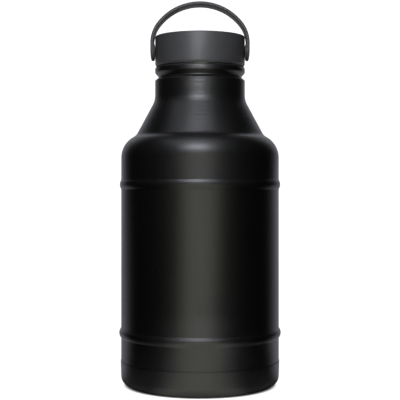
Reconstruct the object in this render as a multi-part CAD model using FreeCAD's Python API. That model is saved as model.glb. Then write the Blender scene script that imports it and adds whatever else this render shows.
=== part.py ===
import FreeCAD, Part
import math
import os

# An insulated steel growler: a double-walled vacuum bottle with two raised hoops, a base cup, and a
# screw lid that carries a swinging bail handle. Millimetres, +Z up. The bottle stands on z = 0 with
# its axis on Z, and the handle's pivots lie along X.

# ---- Body: the outer shell, from the base cup to the mouth --------------------------------------
BODY_R = 61.3             # outer radius of the straight wall
WALL = 0.6                # steel sheet of the shell, the vessel and the base cup
STRAIGHT_TOP_Z = 176.4    # where the straight wall ends and the shoulder's arc starts
SHOULDER_RADIUS = 18.2    # the shoulder's arc
SHOULDER_LEAN = 60.0      # degrees from vertical where that arc ends
CONE_START_R = 49.7       # radius at which the shoulder meets the cone
CONE_LEAN = 28.3          # degrees from vertical of the cone
CONE_FILLET = 7.0         # shoulder to cone
NECK_FILLET = 15.7        # cone to neck
NECK_LENGTH = 15.3        # from the cone's top corner to the groove's lower edge
GROOVE_DEPTH = 3.0        # groove rolled in above the neck
GROOVE_LOW_FLANK = 2.5    # height of its lower flank
GROOVE_HIGH_FLANK = 3.45  # height of its upper flank
GROOVE_FILLET = 0.9       # at the bottom of the groove
BEAD_HEIGHT = 4.4         # round bead between the groove and the lid
BEAD_TOP_FILLET = 1.4
BEAD_LOW_FILLET = 1.5
NECK_EDGE_FILLET = 0.8    # neck to groove
FINISH_R = 29.4           # root radius of the threaded finish
FINISH_HEIGHT = 14.6      # from the bead's top to the lip
LEDGE = 5.6               # from the finish out to the neck and the bead
LIP_FILLET = 0.4          # inside bend of the rolled lip

# ---- Hoops: two round swellings of the outer shell ----------------------------------------------
UPPER_HOOP_Z = 155.5
UPPER_HOOP_PROUD = 1.12
LOWER_HOOP_Z = 40.8
LOWER_HOOP_PROUD = 1.5
HOOP_HEIGHT = 8.1         # over the feet of a hoop
CREST_SHARE = 0.8         # the crest's part of a hoop's two radii

# ---- Base: cup, outer plate, evacuation seal ----------------------------------------------------
CUP_HEIGHT = 19.3
CUP_CORNER = 7.6          # outside radius from the floor to the wall
CUP_LIP = 0.3             # how far the cup's rim stands proud of the body
CUP_TAPER = 12.0          # length over which the rim flares out
CUP_RECESS = 1.6          # rise of the floor inside the standing ring
CUP_GLUE_GAP = 0.05       # between the cup and the shell's foot
STANDING_RING_R = 46.0    # inner edge of the standing ring
RING_FILLET = 1.0
FOOT_STEP_GAP = 0.3       # from the cup's rim to the shell's step
PLATE_WALL = 0.8
PLATE_GAP = 0.8           # from the cup's recessed floor to the plate
PLATE_CORNER = 4.0
PLATE_LAP = 5.0           # how far the plate's rim reaches up inside the shell's foot
DIMPLE_R = 8.0            # dimple that holds the evacuation seal
DIMPLE_DEPTH = 1.5
SEAL_HOLE_R = 1.0
SEAL_HEIGHT = 1.1

# ---- Inner vessel and what is in the vacuum -----------------------------------------------------
VACUUM_GAP = 5.0          # between the two walls of the body
NECK_GAP = 0.5            # between the two walls of the threaded finish
BASE_GAP = 8.0            # between the outer plate and the inner base
INNER_NECK_FILLET = 12.0
INNER_CORNER = 10.0       # inner base, floor to wall
INNER_RISE = 2.0          # how far the middle of the inner base is pressed up
INNER_RISE_R = 30.0
INNER_SEAM_RISE = 16.0    # from the inner base's lowest face to its weld
GETTER_R = 4.5
GETTER_HEIGHT = 2.0
GETTER_OFFSET = 14.0      # from the bottle's axis
CLIP_WALL = 0.4
CLIP_WIDTH = 6.0
CLIP_FOOT = 4.0
CLIP_CLEARANCE = 0.1

# ---- Lid ----------------------------------------------------------------------------------------
CAP_WALL = 2.0
CAP_HEADROOM = 3.9        # foam between the web and the lid's top wall
CAP_GAP = 0.6             # from the bead to the lid's lower edge
CAP_TOP_FILLET = 1.0
TOE_INSET = 0.9           # taper of the lid's lower edge
TOE_HEIGHT = 1.6
TOE_FILLET = 1.5
THREAD_HEIGHT = 1.3       # room for the thread on the finish
THREAD_CLEARANCE = 0.4
LINER_WALL = 1.8
LINER_INSET = 1.0         # from the lid's lower edge to the liner's
GASKET_HEIGHT = 1.8
GASKET_CLEARANCE = 0.35   # round the gasket, inside and outside
PLUG_CLEARANCE = 0.8      # from the plug to the mouth
PLUG_DEPTH = 12.0         # from the lip to the plug's lower face
PLUG_WALL = 1.6
COVER_WALL = 0.5
COVER_SKIRT = 5.0
COVER_FILLET = 1.5

# ---- Handle and its pivots ----------------------------------------------------------------------
HANDLE_GAP = 1.0          # from the lid's wall to the ear
HANDLE_THICKNESS = 2.55
HANDLE_WIDTH = 16.2
ARCH_RISE = 32.0          # height of the arch above its springing
ARCH_SIDE_R = 26.0        # outer radius of the arch's two sides; its top is a wider arc
ARCH_TO_PIVOT = 5.4       # from the arch's springing down to the pivots
EAR_CURL_R = 50.0         # the ears curl in towards the lid on this radius
HANDLE_FILLET = 1.0
PIVOT_RISE = 12.6         # from the lid's lower edge up to the pivots
PIN_R = 1.6
PIN_RUNNING_GAP = 0.05    # the ear turns on the pin
HEAD_R = 3.0
HEAD_HEIGHT = 1.0
HEAD_CLEARANCE = 0.2
END_PLAY = 0.15           # each side of the ear
WASHER_R = 2.95
SPOT_FACE_DEPTH = 0.15    # flat seat that the washer stands on
INSERT_R = 2.5
INSERT_INSET = 0.2        # from the liner's bore to the insert's end

# ---- Derived sizes ------------------------------------------------------------------------------
AXIS = FreeCAD.Vector(0, 0, 1)
ACROSS = FreeCAD.Vector(1, 0, 0)
ORIGIN = FreeCAD.Vector(0, 0, 0)
SHORTEST_LINE = 1e-5

NECK_R = FINISH_R + LEDGE
SHOULDER_Z = STRAIGHT_TOP_Z + SHOULDER_RADIUS * math.tan(math.radians(SHOULDER_LEAN / 2))
CONE_Z = SHOULDER_Z + (BODY_R - CONE_START_R) / math.tan(math.radians(SHOULDER_LEAN))
NECK_Z = CONE_Z + (CONE_START_R - NECK_R) / math.tan(math.radians(CONE_LEAN))
GROOVE_Z = NECK_Z + NECK_LENGTH
GROOVE_FLOOR_Z = GROOVE_Z + GROOVE_LOW_FLANK
BEAD_Z = GROOVE_FLOOR_Z + GROOVE_HIGH_FLANK
BEAD_TOP_Z = BEAD_Z + BEAD_HEIGHT
LIP_Z = BEAD_TOP_Z + FINISH_HEIGHT

CUP_INNER_R = BODY_R - WALL
FOOT_R = CUP_INNER_R - CUP_GLUE_GAP
FOOT_STEP_Z = CUP_HEIGHT + FOOT_STEP_GAP
FOOT_Z = CUP_CORNER + FOOT_STEP_GAP
PLATE_R = FOOT_R - WALL
PLATE_Z = CUP_RECESS + WALL + PLATE_GAP

INNER_R = BODY_R - WALL - VACUUM_GAP
INNER_NECK_R = FINISH_R - WALL - NECK_GAP
MOUTH_R = INNER_NECK_R - WALL
INNER_BASE_Z = PLATE_Z + PLATE_WALL + BASE_GAP
INNER_SEAM_Z = INNER_BASE_Z + INNER_SEAM_RISE

BORE_R = FINISH_R + THREAD_HEIGHT + THREAD_CLEARANCE
LINER_R = BORE_R + LINER_WALL
CAP_R = LINER_R + CAP_WALL
CAP_BOTTOM_Z = BEAD_TOP_Z + CAP_GAP
LINER_BOTTOM_Z = CAP_BOTTOM_Z + LINER_INSET
WEB_Z = LIP_Z + GASKET_HEIGHT
WEB_TOP_Z = WEB_Z + LINER_WALL
CEILING_Z = WEB_TOP_Z + CAP_HEADROOM
CAP_TOP_Z = CEILING_Z + CAP_WALL
PLUG_R = MOUTH_R - PLUG_CLEARANCE
PLUG_BORE_R = PLUG_R - COVER_WALL - PLUG_WALL
PLUG_BOTTOM_Z = LIP_Z - PLUG_DEPTH

EAR_IN = CAP_R + HANDLE_GAP
HANDLE_R = EAR_IN + HANDLE_THICKNESS
PIVOT_Z = CAP_BOTTOM_Z + PIVOT_RISE
ARCH_Z = PIVOT_Z + ARCH_TO_PIVOT
ARCH_SIDE_X = HANDLE_R - ARCH_SIDE_R
ARCH_DROP = (ARCH_SIDE_X ** 2 / (ARCH_RISE - ARCH_SIDE_R) - (ARCH_RISE - ARCH_SIDE_R)) / 2
ARCH_TOP_R = ARCH_RISE + ARCH_DROP
SPOT_FACE = CAP_R - SPOT_FACE_DEPTH
HEAD_SEAT = HANDLE_R - HEAD_HEIGHT


# ---- Drawing helpers ----------------------------------------------------------------------------
def at(r, z):
    """A point of a profile, at radius r and height z."""
    return FreeCAD.Vector(r, 0, z)


def line(start, end):
    """The straight edge between two points, or nothing where they meet."""
    if start.distanceToPoint(end) < SHORTEST_LINE:
        return []
    return [Part.LineSegment(start, end).toShape()]


def run(start, end):
    """The unit direction from one corner to the next."""
    length = math.hypot(end[0] - start[0], end[1] - start[1])
    return (end[0] - start[0]) / length, (end[1] - start[1]) / length


def rounded(corners):
    """The edges of a path through (r, z, fillet) corners, each bend rounded by its own fillet."""
    edges = []
    start = at(*corners[0][:2])
    for before, corner, after in zip(corners, corners[1:], corners[2:]):
        bend = at(*corner[:2])
        arrive = at(*run(before, corner))
        leave = at(*run(corner, after))
        turn = arrive.getAngle(leave)
        reach = corner[2] * math.tan(turn / 2)
        first = bend - arrive * reach
        edges += line(start, first)
        start = bend + leave * reach
        if reach > SHORTEST_LINE:
            inward = (leave - arrive).normalize()
            middle = bend + inward * corner[2] * (1 / math.cos(turn / 2) - 1)
            edges.append(Part.Arc(first, middle, start).toShape())
    return edges + line(start, at(*corners[-1][:2]))


def offset_corners(corners, distance):
    """The corners moved to the left of their path, each bend kept on its own centre."""
    runs = [run(a, b) for a, b in zip(corners, corners[1:])]
    moved = []
    for (r, z, fillet), (ar, az), (br, bz) in zip(corners, runs[:1] + runs, runs + runs[-1:]):
        mitre = distance / (1 + ar * br + az * bz)
        turns_left = ar * bz - az * br > 0
        bend = fillet - distance if turns_left else fillet + distance
        moved.append((r - mitre * (az + bz), z + mitre * (ar + br), max(bend, 0) if fillet else 0))
    return moved


def sheet_face(corners, wall):
    """The section of a bent sheet, from its path's right side to its left."""
    near = rounded(corners)
    far_corners = offset_corners(corners, wall)
    far = rounded(far_corners)
    end = line(at(*corners[-1][:2]), at(*far_corners[-1][:2]))
    start = line(at(*far_corners[0][:2]), at(*corners[0][:2]))
    return Part.Face(Part.Wire(near + end + far[::-1] + start))


def turned(face):
    """A section turned about the bottle's axis."""
    return face.revolve(ORIGIN, AXIS, 360)


def pressed(corners, wall):
    """A round part pressed or rolled from sheet."""
    return turned(sheet_face(corners, wall))


def moulded(corners):
    """A round solid part from its closed section. The first corner is sharp."""
    return turned(Part.Face(Part.Wire(rounded(corners + corners[:1]))))


def rod(radius, x_from, x_to):
    """A round bar along X on the pivots' axis."""
    start = FreeCAD.Vector(min(x_from, x_to), 0, PIVOT_Z)
    return Part.makeCylinder(radius, abs(x_to - x_from), start, ACROSS)


# ---- Bottle -------------------------------------------------------------------------------------
def hoop(z, proud):
    """Corners of a round swelling: two hollow feet and a crest, three arcs that run into each other."""
    half = HOOP_HEIGHT / 2
    both = (proud ** 2 + half ** 2) / (2 * proud)
    crest = CREST_SHARE * both
    foot = both - crest
    lean = math.asin(half / both)
    foot_z = half - foot * math.tan(lean / 2)
    apex = proud + crest * (1 / math.cos(lean) - 1)
    return [
        (BODY_R, z - foot_z, foot),
        (BODY_R + apex, z, crest),
        (BODY_R, z + foot_z, foot),
    ]


def outer_shell():
    """Coated steel shell: stepped foot, two hoops, shoulder, cone, neck, groove, bead and finish."""
    return pressed([
        (FOOT_R, FOOT_Z, 0),
        (FOOT_R, FOOT_STEP_Z, 0),
        (BODY_R, FOOT_STEP_Z + BODY_R - FOOT_R, 0),
        *hoop(LOWER_HOOP_Z, LOWER_HOOP_PROUD),
        *hoop(UPPER_HOOP_Z, UPPER_HOOP_PROUD),
        (BODY_R, SHOULDER_Z, SHOULDER_RADIUS),
        (CONE_START_R, CONE_Z, CONE_FILLET),
        (NECK_R, NECK_Z, NECK_FILLET),
        (NECK_R, GROOVE_Z, NECK_EDGE_FILLET),
        (NECK_R - GROOVE_DEPTH, GROOVE_FLOOR_Z, GROOVE_FILLET),
        (NECK_R, BEAD_Z, BEAD_LOW_FILLET),
        (NECK_R, BEAD_TOP_Z, BEAD_TOP_FILLET),
        (FINISH_R, BEAD_TOP_Z, 0),
        (FINISH_R, LIP_Z - WALL, 0),
    ], WALL)


def inner_vessel():
    """Bare steel vessel that follows the shell across the vacuum and rolls out over the lip."""
    _, shoulder, cone, _ = offset_corners([
        (BODY_R, STRAIGHT_TOP_Z, 0),
        (BODY_R, SHOULDER_Z, SHOULDER_RADIUS),
        (CONE_START_R, CONE_Z, CONE_FILLET),
        (NECK_R, NECK_Z, 0),
    ], WALL + VACUUM_GAP)
    neck_z = cone[1] + (cone[0] - INNER_NECK_R) / math.tan(math.radians(CONE_LEAN))
    return pressed([
        (INNER_R, INNER_SEAM_Z, 0),
        shoulder,
        cone,
        (INNER_NECK_R, neck_z, INNER_NECK_FILLET),
        (INNER_NECK_R, LIP_Z - WALL, LIP_FILLET),
        (FINISH_R, LIP_Z - WALL, 0),
    ], WALL)


def inner_base():
    """Pressed floor of the vessel, welded to its wall."""
    return pressed([
        (0, INNER_BASE_Z + INNER_RISE, 0),
        (INNER_RISE_R, INNER_BASE_Z + INNER_RISE, 0),
        (INNER_RISE_R + 2 * INNER_RISE, INNER_BASE_Z, 0),
        (INNER_R, INNER_BASE_Z, INNER_CORNER),
        (INNER_R, INNER_SEAM_Z, 0),
    ], WALL)


def outer_base_plate():
    """Dished plate that closes the shell's foot, with the dimple and hole for evacuating it."""
    return pressed([
        (SEAL_HOLE_R, PLATE_Z + DIMPLE_DEPTH, 0),
        (DIMPLE_R, PLATE_Z + DIMPLE_DEPTH, 0),
        (DIMPLE_R + DIMPLE_DEPTH, PLATE_Z, 0),
        (PLATE_R, PLATE_Z, PLATE_CORNER),
        (PLATE_R, FOOT_Z + PLATE_LAP, 0),
    ], PLATE_WALL)


def evacuation_seal():
    """Bead of sealing glass in the dimple, with its stem in the hole."""
    seat = PLATE_Z + DIMPLE_DEPTH
    return moulded([
        (0, seat - SEAL_HEIGHT, 0),
        (DIMPLE_R, seat - SEAL_HEIGHT, 0),
        (DIMPLE_R, seat, 0),
        (SEAL_HOLE_R, seat, 0),
        (SEAL_HOLE_R, seat + PLATE_WALL, 0),
        (0, seat + PLATE_WALL, 0),
    ])


def getter():
    """Gas-absorbing pellet held against the underside of the inner base."""
    low = FreeCAD.Vector(GETTER_OFFSET, 0, INNER_BASE_Z + INNER_RISE - GETTER_HEIGHT)
    return Part.makeCylinder(GETTER_R, GETTER_HEIGHT, low)


def getter_clip():
    """Bent strip welded by its two feet, which carries the getter."""
    foot_z = INNER_BASE_Z + INNER_RISE - CLIP_WALL
    tray_z = foot_z - GETTER_HEIGHT
    leg = GETTER_R + CLIP_CLEARANCE + CLIP_WALL
    face = sheet_face([
        (-leg - CLIP_FOOT, foot_z, 0),
        (-leg, foot_z, 0),
        (-leg, tray_z, 0),
        (leg, tray_z, 0),
        (leg, foot_z, 0),
        (leg + CLIP_FOOT, foot_z, 0),
    ], CLIP_WALL)
    face.translate(FreeCAD.Vector(GETTER_OFFSET, -CLIP_WIDTH / 2, 0))
    return face.extrude(FreeCAD.Vector(0, CLIP_WIDTH, 0))


def base_cup():
    """Coated steel cup over the foot: recessed floor, standing ring, round corner, flared rim."""
    return pressed([
        (0, CUP_RECESS, 0),
        (STANDING_RING_R, CUP_RECESS, RING_FILLET),
        (STANDING_RING_R + CUP_RECESS, 0, RING_FILLET),
        (BODY_R, 0, CUP_CORNER),
        (BODY_R, CUP_HEIGHT - CUP_TAPER, 0),
        (BODY_R + CUP_LIP, CUP_HEIGHT, 0),
    ], WALL)


# ---- Lid ----------------------------------------------------------------------------------------
def cap_shell():
    """Moulded lid with a tapered lower edge, and a flat seat and a hole at each pivot."""
    shell = moulded([
        (0, CEILING_Z, 0),
        (LINER_R, CEILING_Z, 0),
        (LINER_R, CAP_BOTTOM_Z, 0),
        (CAP_R - TOE_INSET, CAP_BOTTOM_Z, 0),
        (CAP_R, CAP_BOTTOM_Z + TOE_HEIGHT, TOE_FILLET),
        (CAP_R, CAP_TOP_Z, CAP_TOP_FILLET),
        (0, CAP_TOP_Z, 0),
    ])
    for side in (-1, 1):
        shell = shell.cut(rod(INSERT_R, side * BORE_R, side * CAP_R))
        shell = shell.cut(rod(WASHER_R + HEAD_CLEARANCE, side * SPOT_FACE, side * HANDLE_R))
    return shell


def cap_liner():
    """Inner moulding: the skirt round the finish, the web over the gasket and the plug's wall."""
    liner = moulded([
        (LINER_R, LINER_BOTTOM_Z, 0),
        (LINER_R, CEILING_Z, 0),
        (BORE_R, CEILING_Z, 0),
        (BORE_R, WEB_TOP_Z, 0),
        (PLUG_BORE_R, WEB_TOP_Z, 0),
        (PLUG_BORE_R, PLUG_BOTTOM_Z + COVER_WALL, 0),
        (PLUG_R - COVER_FILLET, PLUG_BOTTOM_Z + COVER_WALL, 0),
        (PLUG_R - COVER_WALL, PLUG_BOTTOM_Z + COVER_FILLET, 0),
        (PLUG_R - COVER_WALL, PLUG_BOTTOM_Z + COVER_SKIRT, 0),
        (PLUG_R, PLUG_BOTTOM_Z + COVER_SKIRT, 0),
        (PLUG_R, WEB_Z, 0),
        (BORE_R, WEB_Z, 0),
        (BORE_R, LINER_BOTTOM_Z, 0),
    ])
    for side in (-1, 1):
        liner = liner.cut(rod(INSERT_R, side * (BORE_R - LINER_WALL), side * CAP_R))
    return liner


def cap_foam():
    """Insulation that fills the plug and the space over the web."""
    return moulded([
        (0, PLUG_BOTTOM_Z + COVER_WALL, 0),
        (PLUG_BORE_R, PLUG_BOTTOM_Z + COVER_WALL, 0),
        (PLUG_BORE_R, WEB_TOP_Z, 0),
        (BORE_R, WEB_TOP_Z, 0),
        (BORE_R, CEILING_Z, 0),
        (0, CEILING_Z, 0),
    ])


def plug_cover():
    """Steel cup over the plug's lower end."""
    return pressed([
        (0, PLUG_BOTTOM_Z, 0),
        (PLUG_R, PLUG_BOTTOM_Z, COVER_FILLET),
        (PLUG_R, PLUG_BOTTOM_Z + COVER_SKIRT, 0),
    ], COVER_WALL)


def cap_gasket():
    """Flat ring squeezed between the lip and the lid's web."""
    inner = PLUG_R + GASKET_CLEARANCE
    outer = BORE_R - GASKET_CLEARANCE
    return moulded([
        (inner, LIP_Z, 0),
        (outer, LIP_Z, 0),
        (outer, WEB_Z, 0),
        (inner, WEB_Z, 0),
    ])


# ---- Handle -------------------------------------------------------------------------------------
def arc(centre_x, centre_z, radius, from_lean, to_lean):
    """An arc in the handle's plane between two angles measured from the vertical."""
    leans = (from_lean, (from_lean + to_lean) / 2, to_lean)
    return Part.Arc(*(at(centre_x + radius * math.sin(a), centre_z + radius * math.cos(a)) for a in leans))


def handle_line(inset):
    """One line of the handle from foot to foot: curled ear, straight arm, side arc, top arc, and back."""
    curl = math.pi / 2 + math.asin((HANDLE_WIDTH / 2 + HANDLE_THICKNESS) / EAR_CURL_R)
    join = math.atan2(ARCH_SIDE_X, ARCH_DROP)
    edges = [arc(0, ARCH_Z - ARCH_DROP, ARCH_TOP_R - inset, -join, join).toShape()]
    for side in (-1, 1):
        half = side * (HANDLE_R - inset)
        ear = arc(side * (HANDLE_R - EAR_CURL_R), PIVOT_Z, EAR_CURL_R - inset, side * math.pi / 2, side * curl)
        bend = arc(side * ARCH_SIDE_X, ARCH_Z, ARCH_SIDE_R - inset, side * join, side * math.pi / 2)
        edges += [ear.toShape(), bend.toShape()]
        edges += line(at(half, PIVOT_Z), at(half, ARCH_Z))
    return Part.Wire(Part.__sortEdges__(edges))


def handle_strip():
    """The handle seen from the front: one even strip, as wide as the ears are thick."""
    outer = handle_line(0)
    inner = handle_line(HANDLE_THICKNESS)
    near = [min(wire.Vertexes, key=lambda v: (v.Z, v.X)).Point for wire in (outer, inner)]
    far = [FreeCAD.Vector(-foot.x, foot.y, foot.z) for foot in near]
    edges = outer.Edges + inner.Edges + line(*near) + line(*far)
    face = Part.Face(Part.Wire(Part.__sortEdges__(edges)))
    face.translate(FreeCAD.Vector(0, -HANDLE_WIDTH / 2, 0))
    return face.extrude(FreeCAD.Vector(0, HANDLE_WIDTH, 0))


def handle_side():
    """The handle seen from the side: parallel, with each ear round about its pivot."""
    half = HANDLE_WIDTH / 2
    top = ARCH_Z + ARCH_RISE + HANDLE_THICKNESS
    left = FreeCAD.Vector(-HANDLE_R, -half, PIVOT_Z)
    right = FreeCAD.Vector(-HANDLE_R, half, PIVOT_Z)
    bottom = FreeCAD.Vector(-HANDLE_R, 0, PIVOT_Z - half)
    left_top = FreeCAD.Vector(-HANDLE_R, -half, top)
    right_top = FreeCAD.Vector(-HANDLE_R, half, top)
    edges = [Part.Arc(left, bottom, right).toShape()]
    edges += line(right, right_top)
    edges += line(right_top, left_top)
    edges += line(left_top, left)
    return Part.Face(Part.Wire(edges)).extrude(ACROSS * 2 * HANDLE_R)


def handle():
    """Bail handle: a flat strip arched over the lid, with a recessed pivot hole in each ear."""
    bail = handle_strip().common(handle_side())
    bail = bail.Solids[0]
    bail = bail.makeFillet(HANDLE_FILLET, bail.Edges)
    for side in (-1, 1):
        bail = bail.cut(rod(PIN_R + PIN_RUNNING_GAP, side * CAP_R, side * HANDLE_R))
        recess = rod(HEAD_R + HEAD_CLEARANCE, side * (HEAD_SEAT - END_PLAY), side * (HANDLE_R + END_PLAY))
        bail = bail.cut(recess)
    return bail


def pivot_pin(side):
    """Shouldered screw: its head lies flush in the ear and its shank ends in the insert."""
    shank = rod(PIN_R, side * (BORE_R + INSERT_INSET), side * HEAD_SEAT)
    return shank.fuse(rod(HEAD_R, side * HEAD_SEAT, side * HANDLE_R)).removeSplitter()


def pivot_washer(side):
    """Spacer between the lid's flat seat and the ear."""
    x_in = side * SPOT_FACE
    x_out = side * (EAR_IN - END_PLAY)
    return rod(WASHER_R, x_in, x_out).cut(rod(PIN_R, x_in, x_out))


def pivot_insert(side):
    """Bush pressed through the lid's wall, which holds the pin."""
    x_in = side * (BORE_R + INSERT_INSET)
    x_out = side * SPOT_FACE
    return rod(INSERT_R, x_in, x_out).cut(rod(PIN_R, x_in, x_out))


def parts():
    """Every piece by its node's name."""
    made = {
        "outer_shell": outer_shell(),
        "inner_vessel": inner_vessel(),
        "inner_base": inner_base(),
        "outer_base_plate": outer_base_plate(),
        "evacuation_seal": evacuation_seal(),
        "getter": getter(),
        "getter_clip": getter_clip(),
        "base_cup": base_cup(),
        "cap_shell": cap_shell(),
        "cap_liner": cap_liner(),
        "cap_foam": cap_foam(),
        "plug_cover": plug_cover(),
        "cap_gasket": cap_gasket(),
        "handle": handle(),
    }
    for name, side in (("left", -1), ("right", 1)):
        made[f"pivot_pin_{name}"] = pivot_pin(side)
        made[f"pivot_washer_{name}"] = pivot_washer(side)
        made[f"pivot_insert_{name}"] = pivot_insert(side)
    return made


os.makedirs("parts", exist_ok=True)
for node, shape in parts().items():
    shape.exportStep(f"parts/{node}.step")
    print(f"{node}: {len(shape.Solids)} solid, {shape.Volume:.0f} mm3, valid {shape.isValid()}")
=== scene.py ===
import math

import bmesh
import bpy
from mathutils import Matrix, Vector


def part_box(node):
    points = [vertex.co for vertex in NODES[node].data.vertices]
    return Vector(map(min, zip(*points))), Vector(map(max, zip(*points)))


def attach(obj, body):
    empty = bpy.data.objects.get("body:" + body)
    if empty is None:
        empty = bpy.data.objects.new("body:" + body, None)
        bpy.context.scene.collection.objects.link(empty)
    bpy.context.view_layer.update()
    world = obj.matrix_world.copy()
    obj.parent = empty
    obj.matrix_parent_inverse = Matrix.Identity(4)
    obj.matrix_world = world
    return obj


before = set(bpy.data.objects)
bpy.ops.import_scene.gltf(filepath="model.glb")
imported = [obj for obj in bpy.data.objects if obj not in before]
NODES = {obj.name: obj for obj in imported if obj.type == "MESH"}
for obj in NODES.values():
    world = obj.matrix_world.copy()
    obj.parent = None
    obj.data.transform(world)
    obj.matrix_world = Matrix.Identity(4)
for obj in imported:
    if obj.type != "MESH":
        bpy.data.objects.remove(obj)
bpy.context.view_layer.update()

# The looks of an insulated steel growler: its materials, its threads and a few small coated and
# moulded details, in a plain studio. Metres, +Z up, front at -Y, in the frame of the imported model.
MM = 0.001
SIDES = {"left": -1, "right": 1}

# ---- Places, read from the frame -------------------------------------------------------------
LOW, HIGH = 0, 1                         # the corners of a node's box
FINISH_HEIGHT = 14.6 * MM                # of the neck's threaded end, from the bead to the lip
THREAD_ROOM = 1.7 * MM                   # between the neck's finish and the lid's bore
END_PLAY = 0.15 * MM                     # between a washer and its ear

BEAD_TOP_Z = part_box("cap_gasket")[LOW].z - FINISH_HEIGHT     # the gasket lies on the lip
BORE_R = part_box("cap_foam")[HIGH].x                          # the foam fills the lid's bore
FINISH_R = BORE_R - THREAD_ROOM
CUP_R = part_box("base_cup")[HIGH].x
CUP_RIM_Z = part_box("base_cup")[HIGH].z
EAR_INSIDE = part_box("pivot_washer_right")[HIGH].x + END_PLAY
PIVOT_Z = sum(corner.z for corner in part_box("pivot_pin_right")) / 2


# ---- Node building ---------------------------------------------------------------------------
MIX_SOCKETS = {"RGBA": (6, 7, 2), "FLOAT": (2, 3, 0)}        # a Mix node's A, B and result


def rgba(colour):
    return (*colour, 1)


class Nodes:
    """Short calls that add nodes to a tree."""

    def __init__(self, tree):
        self.tree = tree

    def feed(self, socket, value):
        """Gives an input a plain value, or another node's output."""
        if isinstance(value, bpy.types.NodeSocket):
            self.tree.links.new(value, socket)
        else:
            socket.default_value = value

    def add(self, kind, inputs=None, **settings):
        """A new node; inputs maps the name or the number of a socket to what feeds it."""
        made = self.tree.nodes.new("ShaderNode" + kind)
        for key, value in settings.items():
            setattr(made, key, value)
        for key, value in (inputs or {}).items():
            self.feed(made.inputs[key], value)
        return made

    def math(self, operation, first, second=0.0):
        return self.add("Math", {0: first, 1: second}, operation=operation).outputs[0]

    def mix(self, kind, fac, first, second):
        """From first, where fac is 0, to second, where it is 1; kind is RGBA or FLOAT."""
        a, b, result = MIX_SOCKETS[kind]
        return self.add("Mix", {0: fac, a: first, b: second}, data_type=kind).outputs[result]

    def between(self, value, low, high, to_low=0.0, to_high=1.0):
        """Turns one range into another, smoothly and without going past its ends."""
        inputs = {"Value": value, "From Min": low, "From Max": high,
                  "To Min": to_low, "To Max": to_high}
        return self.add("MapRange", inputs, interpolation_type="SMOOTHSTEP").outputs[0]

    def length(self, vector, shift=(0, 0, 0), keep=(1, 1, 1)):
        """Length of a vector that is shifted first and keeps only some of its parts."""
        inputs = {"Vector": vector, "Location": shift, "Scale": keep}
        kept = self.add("Mapping", inputs).outputs["Vector"]
        return self.add("VectorMath", {0: kept}, operation="LENGTH").outputs["Value"]


class Finish(Nodes):
    """A principled material, with the calls that vary its colour, roughness and relief."""

    def __init__(self, name, colour, roughness, metallic=0.0):
        self.material = bpy.data.materials.new(name)
        self.material.use_nodes = True
        super().__init__(self.material.node_tree)
        self.shader = self.tree.nodes["Principled BSDF"]
        self.shader.inputs["Base Color"].default_value = rgba(colour)
        self.shader.inputs["Roughness"].default_value = roughness
        self.shader.inputs["Metallic"].default_value = metallic
        self.place = self.add("TexCoord").outputs["Object"]

    def noise(self, scale, detail=2.0, vector=None):
        inputs = {"Vector": vector or self.place, "Scale": scale, "Detail": detail}
        return self.add("TexNoise", inputs).outputs["Fac"]

    def height(self):
        return self.add("SeparateXYZ", {"Vector": self.place}).outputs["Z"]

    def rings(self, scale):
        """Noise that runs round the bottle's axis, on upright walls and on flat floors alike."""
        radius = self.length(self.place, keep=(1, 1, 0))
        turned = self.add("CombineXYZ", {"X": radius, "Z": self.height()}).outputs["Vector"]
        return self.noise(scale, detail=3, vector=turned)

    def vary_colour(self, fac, dark, light):
        colour = self.mix("RGBA", fac, rgba(dark), rgba(light))
        self.feed(self.shader.inputs["Base Color"], colour)

    def vary_roughness(self, noise, low, high):
        """Spreads the middle of a noise's range over a range of roughness."""
        roughness = self.between(noise, 0.3, 0.7, to_low=low, to_high=high)
        self.feed(self.shader.inputs["Roughness"], roughness)

    def overlay(self, fac, **values):
        """Puts new values over what feeds some sockets, as far as fac says.

        A socket's name has an underscore for its space.
        """
        for name, value in values.items():
            into = self.shader.inputs[name.replace("_", " ")]
            under = into.links[0].from_socket if into.links else into.default_value
            kind = "RGBA" if name == "Base_Color" else "FLOAT"
            self.feed(into, self.mix(kind, fac, under, value))

    def bump(self, height, depth):
        """Adds a relief of the given depth over any that is there already."""
        made = self.add("Bump", {"Height": height, "Distance": depth})
        into = self.shader.inputs["Normal"]
        if into.links:
            self.feed(made.inputs["Normal"], into.links[0].from_socket)
        self.feed(into, made.outputs["Normal"])


# ---- Coats -----------------------------------------------------------------------------------
COAT_IOR = 1.6
SPUN_FROM, SPUN_FULL = 0.178, 0.195      # heights between which the rings of spinning fade in
DULL_FROM, DULL_FULL = -0.9 * MM, -0.5 * MM      # the coat's dry edge, from the bead's top
BARE_FROM, BARE_FULL = 0.2 * MM, 0.5 * MM        # where the coat ends, from the bead's top
INWARD = -5 * MM       # radius times the normal's outward part, less than this on the vacuum's side
SCUFF_FULL, SCUFF_TO = 0.15 * MM, 0.6 * MM       # heights between which the scuffs fade out
STEEL = (0.58, 0.57, 0.55)


def powder_coat(name):
    """Satin black coat: a fine orange-peel relief and faint rings from the spun steel below."""
    coat = Finish(name, (0.002, 0.002, 0.002), roughness=0.40)
    coat.shader.inputs["IOR"].default_value = COAT_IOR
    mottle = coat.noise(scale=90)
    coat.vary_colour(mottle, dark=(0.0018, 0.0018, 0.0017), light=(0.0030, 0.0030, 0.0028))
    coat.vary_roughness(coat.noise(scale=700, detail=3), low=0.38, high=0.44)
    coat.bump(coat.noise(scale=800), depth=0.014 * MM)
    spun = coat.between(coat.height(), SPUN_FROM, SPUN_FULL)
    coat.bump(coat.math("MULTIPLY", coat.rings(scale=400), spun), depth=0.16 * MM)
    return coat


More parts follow.
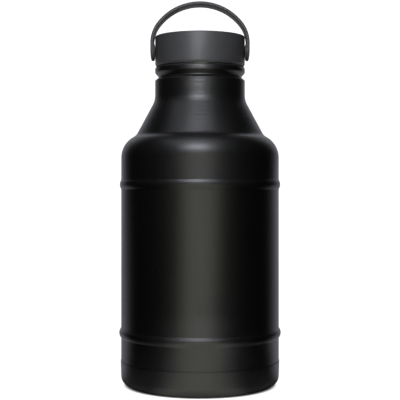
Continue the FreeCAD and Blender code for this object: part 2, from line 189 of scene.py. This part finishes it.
def shell_coat():
    """The coat on the outer shell: it stops at the finish, and the vacuum's side has none."""
    coat = powder_coat("body_coat")
    height = coat.height()

    dull = coat.between(height, BEAD_TOP_Z + DULL_FROM, BEAD_TOP_Z + DULL_FULL)
    coat.overlay(dull, Roughness=0.95)

    above = coat.between(height, BEAD_TOP_Z + BARE_FROM, BEAD_TOP_Z + BARE_FULL)
    facing = coat.add("TexCoord").outputs["Normal"]
    along = coat.add("VectorMath", {0: facing, 1: coat.place}, operation="DOT_PRODUCT")
    upward = coat.add("SeparateXYZ", {"Vector": facing}).outputs["Z"]
    lift = coat.math("MULTIPLY", upward, height)
    outward = coat.math("SUBTRACT", along.outputs["Value"], lift)
    inside = coat.math("LESS_THAN", outward, INWARD)
    bare = coat.math("MAXIMUM", above, inside)
    coat.overlay(bare, Base_Color=rgba(STEEL), Roughness=0.30, Metallic=1.0)
    return coat.material


def cup_coat():
    """The coat on the base cup, scuffed where it stands."""
    coat = powder_coat("cup_coat")
    low = coat.between(coat.height(), SCUFF_FULL, SCUFF_TO, to_low=1.0, to_high=0.0)
    patches = coat.between(coat.noise(scale=220, detail=4), low=0.50, high=0.62)
    scuffed = coat.math("MULTIPLY", low, patches)
    coat.overlay(scuffed, Base_Color=rgba((0.06, 0.06, 0.058)), Roughness=0.62)
    return coat.material


# ---- Other materials -------------------------------------------------------------------------
MOTTLE_DARK, MOTTLE_LIGHT = 0.9, 1.1     # shares of a plastic's colour
GRAIN_SPREAD = 0.03                      # of a plastic's roughness, either way
RING_DARK = 0.88                         # share of a steel's colour
CLOUD_DOWN, CLOUD_UP = 0.04, 0.05        # spread of a steel's roughness
DIMPLE_R, DIMPLE_RIM_R = 0.9 * MM, 1.3 * MM      # in a pin's head


def moulded_plastic(name, colour, roughness, grain_scale, grain_depth):
    """Moulded plastic: eroded grain over a slower mottle from the melt's flow."""
    plastic = Finish(name, colour, roughness)
    dark = [MOTTLE_DARK * part for part in colour]
    light = [MOTTLE_LIGHT * part for part in colour]
    plastic.vary_colour(plastic.noise(scale=160, detail=3), dark, light)
    grain = plastic.noise(scale=900)
    plastic.vary_roughness(grain, roughness - GRAIN_SPREAD, roughness + GRAIN_SPREAD)
    plastic.bump(plastic.noise(grain_scale), grain_depth)
    return plastic.material


def turned_steel(name, colour, roughness, ring_depth):
    """Bare steel with the fine rings of turning or spinning, crossed by slow clouds."""
    steel = Finish(name, colour, roughness, metallic=1.0)
    dark = [RING_DARK * part for part in colour]
    steel.vary_colour(steel.rings(scale=1800), dark, colour)
    clouds = steel.noise(scale=60, detail=3)
    steel.vary_roughness(clouds, roughness - CLOUD_DOWN, roughness + CLOUD_UP)
    steel.bump(steel.rings(scale=2600), ring_depth)
    return steel


def pin_metal():
    """Nickelled steel pin, with a turned dimple in the middle of its head."""
    metal = turned_steel("pin_steel", (0.30, 0.30, 0.30), roughness=0.34, ring_depth=0.001 * MM)
    off_axis = metal.length(metal.place, shift=(0, 0, -PIVOT_Z), keep=(0, 1, 1))
    metal.bump(metal.between(off_axis, DIMPLE_R, DIMPLE_RIM_R), depth=0.3 * MM)
    return metal.material


def foam():
    """Cut polyurethane foam: small cells with darker openings."""
    cells = Finish("foam", (0.85, 0.82, 0.72), roughness=0.9)
    holes = cells.add("TexVoronoi", {"Vector": cells.place, "Scale": 1600}).outputs["Distance"]
    openings = cells.between(holes, low=0.1, high=0.6)
    cells.vary_colour(openings, dark=(0.55, 0.50, 0.38), light=(0.88, 0.85, 0.76))
    cells.bump(holes, depth=0.15 * MM)
    return cells.material


def silicone():
    """Grey silicone: soft skin with dust in it."""
    rubber = Finish("gasket_silicone", (0.62, 0.62, 0.60), roughness=0.55)
    dust = rubber.noise(scale=300, detail=4)
    rubber.vary_colour(dust, dark=(0.54, 0.54, 0.52), light=(0.66, 0.66, 0.64))
    rubber.bump(rubber.noise(scale=1200, detail=3), depth=0.01 * MM)
    return rubber.material


def sealing_glass():
    """Fused glass solder: dark, glossy and slightly rippled."""
    glass = Finish("sealing_glass", (0.12, 0.12, 0.10), roughness=0.12)
    streaks = glass.noise(scale=500, detail=3)
    glass.vary_colour(streaks, dark=(0.08, 0.08, 0.07), light=(0.15, 0.15, 0.12))
    glass.bump(glass.noise(scale=400), depth=0.05 * MM)
    return glass.material


def getter_alloy():
    """Pressed and sintered metal powder."""
    alloy = Finish("getter_alloy", (0.25, 0.25, 0.26), roughness=0.75, metallic=0.6)
    grains = alloy.noise(scale=2500, detail=4)
    alloy.vary_colour(grains, dark=(0.16, 0.16, 0.17), light=(0.30, 0.30, 0.31))
    alloy.bump(alloy.noise(scale=3000, detail=4), depth=0.03 * MM)
    return alloy.material


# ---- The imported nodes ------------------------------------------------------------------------
WELD_DISTANCE = 0.002 * MM
SHARP_ANGLE = math.radians(28)           # edges that bend more than this stay sharp


def paint(node, material):
    """Gives a CAD node its material, and rounds its shading between its real edges."""
    body = NODES[node]
    body.data.materials.clear()
    body.data.materials.append(material)
    body.data.polygons.foreach_set("use_smooth", [True] * len(body.data.polygons))
    weld = body.modifiers.new("weld", "WELD")
    weld.merge_threshold = WELD_DISTANCE
    edges = body.modifiers.new("edges", "EDGE_SPLIT")
    edges.split_angle = SHARP_ANGLE


steel = turned_steel("bare_steel", STEEL, roughness=0.28, ring_depth=0.003 * MM).material
sheet = turned_steel("steel_sheet", (0.52, 0.52, 0.51),
                     roughness=0.45, ring_depth=0.004 * MM).material
brass = turned_steel("insert_brass", (0.72, 0.55, 0.25),
                     roughness=0.35, ring_depth=0.004 * MM).material
liner = moulded_plastic("liner_plastic", (0.035, 0.035, 0.036),
                        roughness=0.50, grain_scale=1800, grain_depth=0.010 * MM)
lid = moulded_plastic("lid_plastic", (0.056, 0.056, 0.058),
                      roughness=0.47, grain_scale=1500, grain_depth=0.016 * MM)
strap = moulded_plastic("handle_plastic", (0.052, 0.052, 0.052),
                        roughness=0.57, grain_scale=2200, grain_depth=0.006 * MM)
washer = moulded_plastic("washer_plastic", (0.012, 0.012, 0.012),
                         roughness=0.40, grain_scale=2500, grain_depth=0.004 * MM)
pin = pin_metal()
cup = cup_coat()

PAINTS = {
    "outer_shell": shell_coat(),
    "base_cup": cup,
    "inner_vessel": steel,
    "inner_base": steel,
    "outer_base_plate": sheet,
    "evacuation_seal": sealing_glass(),
    "getter": getter_alloy(),
    "getter_clip": sheet,
    "cap_shell": lid,
    "cap_liner": liner,
    "cap_foam": foam(),
    "cap_gasket": silicone(),
    "plug_cover": steel,
    "handle": strap,
}
for side in SIDES:
    PAINTS[f"pivot_pin_{side}"] = pin
    PAINTS[f"pivot_washer_{side}"] = washer
    PAINTS[f"pivot_insert_{side}"] = brass
for node, material in PAINTS.items():
    paint(node, material)


# ---- Added pieces ----------------------------------------------------------------------------
def around_axis(radius, angle, z):
    """A point this far from the bottle's axis and this far round it."""
    return (radius * math.cos(angle), radius * math.sin(angle), z)


def add_piece(name, data, material, body):
    """Puts a new mesh or curve on a body."""
    data.materials.append(material)
    piece = bpy.data.objects.new(name, data)
    bpy.context.scene.collection.objects.link(piece)
    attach(piece, body)
    return piece


def skin(name, loops, closed, smooth):
    """A mesh through loops of points: closed joins the last to the first, else both are capped."""
    mesh = bmesh.new()
    rows = [[mesh.verts.new(point) for point in loop] for loop in loops]
    for first, second in zip(rows, rows[1:] + rows[:1] if closed else rows[1:]):
        for low, high in zip(range(len(first)), [*range(1, len(first)), 0]):
            mesh.faces.new((first[low], second[low], second[high], first[high]))
    if not closed:
        mesh.faces.new(rows[0])
        mesh.faces.new(rows[-1][::-1])
    bmesh.ops.recalc_face_normals(mesh, faces=mesh.faces)
    data = bpy.data.meshes.new(name)
    mesh.to_mesh(data)
    mesh.free()
    data.polygons.foreach_set("use_smooth", [smooth] * len(data.polygons))
    return data


# Threads: the same lead on the neck and in the lid, half a pitch apart.
THREAD_LEAD = 6.0 * MM
THREAD_DEPTH = 1.25 * MM
ROOT_HALF = 1.25 * MM                    # half the ridge's width at the wall
CREST_HALF = 0.5 * MM                    # half its width at the crest
FLANK_RISE, EDGE_RISE = 0.55, 0.93       # shares of the depth, on the flank and at the crest's edge
THREAD_SUNK = 0.1 * MM                   # how far the root reaches into the wall it stands on
THREAD_RUNOUT = math.radians(40)         # over which each end fades into the wall
THREAD_START_Z = BEAD_TOP_Z + 3.6 * MM   # middle of the neck's ridge at its lower end
NECK_TURNS = 1.35
LID_TURNS = 1.1
STEPS_PER_TURN = 120


def thread(name, wall_r, outward, start_z, turns):
    """A right-hand ridge round a wall, outward (1) on the neck or inward (-1) in the lid."""
    sections = []
    for step in range(round(turns * STEPS_PER_TURN) + 1):
        angle = math.tau * step / STEPS_PER_TURN
        end = min(angle, math.tau * turns - angle)
        depth = THREAD_DEPTH * math.sin(math.pi / 2 * min(end / THREAD_RUNOUT, 1)) ** 2
        flank_half = (ROOT_HALF + CREST_HALF) / 2
        upper = [(0, depth), (CREST_HALF, EDGE_RISE * depth), (flank_half, FLANK_RISE * depth),
                 (ROOT_HALF, 0), (ROOT_HALF, -THREAD_SUNK)]
        lower = [(-along, out) for along, out in upper[:0:-1]]
        middle_z = start_z + THREAD_LEAD * angle / math.tau
        sections.append([around_axis(wall_r + outward * out, angle, middle_z + along)
                         for along, out in lower + upper])
    return skin(name, sections, closed=False, smooth=True)


neck_thread = thread("neck_thread", FINISH_R, 1, THREAD_START_Z, NECK_TURNS)
add_piece("neck_thread", neck_thread, steel, "bottle")
lid_thread = thread("lid_thread", BORE_R, -1, THREAD_START_Z + THREAD_LEAD / 2, LID_TURNS)
add_piece("lid_thread", lid_thread, liner, "cap")

# The coat that bridges the gap between the cup's rim and the shell's step, seen as a fine line.
SEAM_DEPTH = 0.48 * MM                   # from the outside of the cup in to the coat
SEAM_THICKNESS = 0.5 * MM
SEAM_HEIGHT = 0.9 * MM
SEAM_SUNK = 0.1 * MM                     # below the rim
SEAM_STEPS = 256


def seam_ring():
    outer, low, high = CUP_R - SEAM_DEPTH, CUP_RIM_Z - SEAM_SUNK, CUP_RIM_Z + SEAM_HEIGHT
    inner = outer - SEAM_THICKNESS
    angles = [math.tau * step / SEAM_STEPS for step in range(SEAM_STEPS)]
    circles = [[around_axis(radius, angle, z) for angle in angles]
               for radius, z in ((inner, low), (outer, low), (outer, high), (inner, high))]
    return skin("seam_coat", circles, closed=True, smooth=False)


add_piece("seam_coat", seam_ring(), cup, "bottle")

# Raised pads moulded on the insides of the ears, round the washers: they close the gap to the lid.
PAD_R = 7.3 * MM                         # of the pad's round lower half
PAD_TOP = 4.4 * MM                       # above the pivot
PAD_CORNER = 1.5 * MM
PAD_HOLE_R = 3.2 * MM                    # clear of the washer
PAD_THICKNESS = 0.85 * MM
PAD_SUNK = 0.15 * MM                     # into the ear
PAD_EDGE = 0.12 * MM                     # rounding of its edges
PAD_STEPS = 48


def pad_curve(name):
    """The pad's outline, with a hole for the washer, filled and given its thickness."""
    lower = [math.pi + math.pi * step / PAD_STEPS for step in range(PAD_STEPS + 1)]
    outline = [(PAD_R * math.cos(angle), PAD_R * math.sin(angle)) for angle in lower]
    outline += [(PAD_R, PAD_TOP - PAD_CORNER), (PAD_R - PAD_CORNER, PAD_TOP),
                (PAD_CORNER - PAD_R, PAD_TOP), (-PAD_R, PAD_TOP - PAD_CORNER)]
    around = [math.tau * step / PAD_STEPS for step in range(PAD_STEPS)]
    hole = [(PAD_HOLE_R * math.cos(angle), PAD_HOLE_R * math.sin(angle)) for angle in around]
    curve = bpy.data.curves.new(name, "CURVE")
    curve.dimensions = "2D"
    curve.fill_mode = "BOTH"
    curve.extrude = PAD_THICKNESS / 2 - PAD_EDGE
    curve.bevel_depth = PAD_EDGE
    curve.bevel_resolution = 2
    curve.offset = -PAD_EDGE
    for loop in (outline, hole):
        spline = curve.splines.new("POLY")
        spline.points.add(len(loop) - 1)
        for point, (y, z) in zip(spline.points, loop):
            point.co = (y, z, 0, 1)
        spline.use_cyclic_u = True
    return curve


for side, way in SIDES.items():
    name = f"ear_pad_{side}"
    pad = add_piece(name, pad_curve(name), strap, "handle")
    pad.location = (way * (EAR_INSIDE - PAD_THICKNESS / 2 + PAD_SUNK), 0, PIVOT_Z)
    pad.rotation_euler = (math.radians(90), 0, math.radians(90))


# ---- Studio: floor, backdrop and dark cards --------------------------------------------------
COOL = (0.965, 0.98, 1.07)
WARM = (0.98, 1.0, 0.84)
# The floor's glow, and its glow in reflections, darken near the bottle: a painted contact shadow.
CONTACT = 2 * MM                         # how close to the bottle the floor darkens
MIRRORED_CONTACT = 7 * CONTACT           # the same in reflections of the floor
BEHIND = 0.50                            # share of its glow that the floor keeps behind the bottle
# Angles from the front, round the axis, between which the mirrored floor dims and comes back.
DIM_FROM, DIM_FULL = math.radians(20), math.radians(44)
LIT_FROM, LIT_FULL = math.radians(91), math.radians(109)


def painted_contact_shade(nodes, distance):
    """1 in the open, less close to what stands on a surface: the factor of a painted contact shadow.
    """
    return nodes.add("AmbientOcclusion", {"Distance": distance}, samples=8).outputs["AO"]


def lit_card(name, grey, seen_glow, mirrored_glow, is_floor):
    """A pale surface that the camera and reflections see as white.

    A floor's glow is darker close to what stands on it, a painted contact shadow, and so is its
    glow in reflections. Its reflection is warm in front of the bottle, cool behind it and dark at
    both sides, as if black cards lay there.
    """
    material = bpy.data.materials.new(name)
    material.use_nodes = True
    nodes = Nodes(material.node_tree)
    nodes.tree.nodes.clear()
    ray = nodes.add("LightPath").outputs
    seen = nodes.math("MULTIPLY", ray["Is Camera Ray"], seen_glow)
    mirrored = nodes.math("MAXIMUM", ray["Is Glossy Ray"], ray["Is Transmission Ray"])
    mirrored = nodes.math("MULTIPLY", mirrored, mirrored_glow)
    tint = rgba(COOL)
    if is_floor:
        place = nodes.add("TexCoord").outputs["Object"]
        here = nodes.add("SeparateXYZ", {"Vector": place}).outputs
        across = nodes.math("ABSOLUTE", here["X"])
        turn = nodes.math("ARCTAN2", across, nodes.math("MULTIPLY", here["Y"], -1.0))
        front = nodes.between(turn, DIM_FROM, DIM_FULL, to_low=1.0, to_high=0.0)
        back = nodes.between(turn, LIT_FROM, LIT_FULL, to_high=BEHIND)
        tint = nodes.mix("RGBA", front, rgba(COOL), rgba(WARM))
        mirrored = nodes.math("MULTIPLY", mirrored, nodes.math("MAXIMUM", front, back))
        # Painted contact shadow: the mirrored glow and the seen glow darken close to the bottle.
        mirrored = nodes.math("MULTIPLY", mirrored, painted_contact_shade(nodes, MIRRORED_CONTACT))
        seen = nodes.math("MULTIPLY", seen, painted_contact_shade(nodes, CONTACT))
    total = nodes.add("BsdfDiffuse", {"Color": (grey, grey, grey, 1)}).outputs[0]
    for strength, colour in ((seen, rgba((1, 1, 1))), (mirrored, tint)):
        shine = nodes.add("Emission", {"Strength": strength, "Color": colour}).outputs[0]
        total = nodes.add("AddShader", {0: total, 1: shine}).outputs[0]
    nodes.add("OutputMaterial", {"Surface": total})
    return material


def card(name, corners, material):
    """A flat four-sided surface of the studio."""
    mesh = bpy.data.meshes.new(name)
    mesh.from_pydata(corners, [], [(0, 1, 2, 3)])
    mesh.materials.append(material)
    made = bpy.data.objects.new(name, mesh)
    bpy.context.scene.collection.objects.link(made)
    return made


def upright(left, right, top):
    """Corners of an upright card that stands on the line between two points of the floor."""
    return [(*left, 0), (*right, 0), (*right, top), (*left, top)]


FLOOR_HALF, FLOOR_FRONT, FLOOR_BACK = 1.2, -0.9, 1.3
BACK_HALF, BACK_TOP = 1.1, 1.3
card("floor",
     [(-FLOOR_HALF, FLOOR_FRONT, 0), (FLOOR_HALF, FLOOR_FRONT, 0),
      (FLOOR_HALF, FLOOR_BACK, 0), (-FLOOR_HALF, FLOOR_BACK, 0)],
     lit_card("floor", grey=0.3, seen_glow=0.98, mirrored_glow=1.0, is_floor=True))
card("backdrop",
     upright((-BACK_HALF, FLOOR_BACK), (BACK_HALF, FLOOR_BACK), BACK_TOP),
     lit_card("backdrop", grey=0.8, seen_glow=1.0, mirrored_glow=0.66, is_floor=False))

# Black cards on both sides keep the sides of the bottle dark.
FLAG_X, FLAG_FRONT, FLAG_BACK, FLAG_TOP = 0.10, -0.215, 0.005, 0.30
black = Finish("black_card", (0.001, 0.001, 0.001), roughness=1.0)
black.shader.inputs["Specular IOR Level"].default_value = 0
for side, way in SIDES.items():
    flag = card(f"flag_{side}",
                upright((way * FLAG_X, FLAG_FRONT), (way * FLAG_X, FLAG_BACK), FLAG_TOP),
                black.material)
    flag.visible_camera = False
    flag.visible_shadow = False

# ---- Studio: softboxes -----------------------------------------------------------------------
BOTTLE = Vector((0, 0, 0.2))             # what the far softboxes face
FAR = 1.3                                # from there to each of them


def softbox(name, place, target, size, radiance, colour=COOL):
    """A rectangular light given by the brightness of its face."""
    width, height = size
    light = bpy.data.lights.new(name, "AREA")
    light.shape = "RECTANGLE"
    light.size = width
    light.size_y = height
    light.energy = radiance * math.pi * width * height
    light.color = colour
    lamp = bpy.data.objects.new(name, light)
    bpy.context.scene.collection.objects.link(lamp)
    lamp.location = place
    lamp.rotation_euler = (Vector(target) - Vector(place)).to_track_quat("-Z", "Y").to_euler()
    lamp.visible_camera = False


def far_softbox(name, rise, turn, radiance):
    """A softbox that spans these degrees, above the horizon and to the right of the front."""
    low, high = (math.radians(angle) for angle in rise)
    left, right = (math.radians(angle) for angle in turn)
    up, aside = (low + high) / 2, (left + right) / 2
    way = Vector((math.sin(aside) * math.cos(up), -math.cos(aside) * math.cos(up), math.sin(up)))
    size = (2 * FAR * math.cos(up) * math.tan((right - left) / 2),
            2 * FAR * math.tan((high - low) / 2))
    softbox(name, BOTTLE + FAR * way, BOTTLE, size, radiance)


# The warm fill lights the walls from the front, the near softboxes light the cone and the lower
# hoop, and the far ones light the rest from above and behind.
softbox("fill", place=(-0.03, -1.30, 0.10), target=(-0.03, 0, 0.10), size=(0.95, 0.40),
        radiance=2.08, colour=WARM)
softbox("key", place=(-0.014, -0.20, 0.32), target=(0, -0.047, 0.205), size=(0.10, 0.07),
        radiance=9)
softbox("low_key", place=(-0.010, -0.17, 0.262), target=(0, -0.047, 0.20), size=(0.07, 0.05),
        radiance=1.5)
softbox("hoop_light", place=(-0.008, -0.108, 0.078), target=(-0.008, -0.135, 0),
        size=(0.09, 0.04), radiance=3.9)
far_softbox("front", rise=(22, 32), turn=(-12, 10), radiance=5.4)
far_softbox("high", rise=(50, 75), turn=(-15, 15), radiance=1.2)
far_softbox("high_left", rise=(32, 44), turn=(-21, -7), radiance=3.6)
far_softbox("high_right", rise=(32, 44), turn=(7, 21), radiance=2.4)
far_softbox("top_left", rise=(58, 78), turn=(-36, -21), radiance=5.5)
far_softbox("top_right", rise=(58, 78), turn=(21, 36), radiance=2.5)
far_softbox("side_left", rise=(42, 64), turn=(-86, -60), radiance=1.4)
far_softbox("back", rise=(30, 55), turn=(158, 202), radiance=1.6)

# The world is white where the camera sees it, and nearly dark to everything else.
WORLD_SEEN, WORLD_LIGHT = 1.0, 0.02
world = bpy.data.worlds.new("studio")
bpy.context.scene.world = world
world.use_nodes = True
sky = Nodes(world.node_tree)
background = sky.tree.nodes["Background"]
background.inputs["Color"].default_value = (1, 1, 1, 1)
seen = sky.add("LightPath").outputs["Is Camera Ray"]
sky.feed(background.inputs["Strength"], sky.mix("FLOAT", seen, WORLD_LIGHT, WORLD_SEEN))

# ---- Camera ----------------------------------------------------------------------------------
CAMERA_DISTANCE, CAMERA_HEIGHT = 0.819, 0.1543
camera = bpy.data.cameras.new("camera")
camera.lens = 94.5
camera.sensor_width = 36
camera.shift_y = -0.035
seen_from = bpy.data.objects.new("camera", camera)
bpy.context.scene.collection.objects.link(seen_from)
seen_from.location = (0, -CAMERA_DISTANCE, CAMERA_HEIGHT)
seen_from.rotation_euler = (math.radians(90), 0, 0)
bpy.context.scene.camera = seen_from
bpy.context.scene.view_settings.view_transform = "Standard"
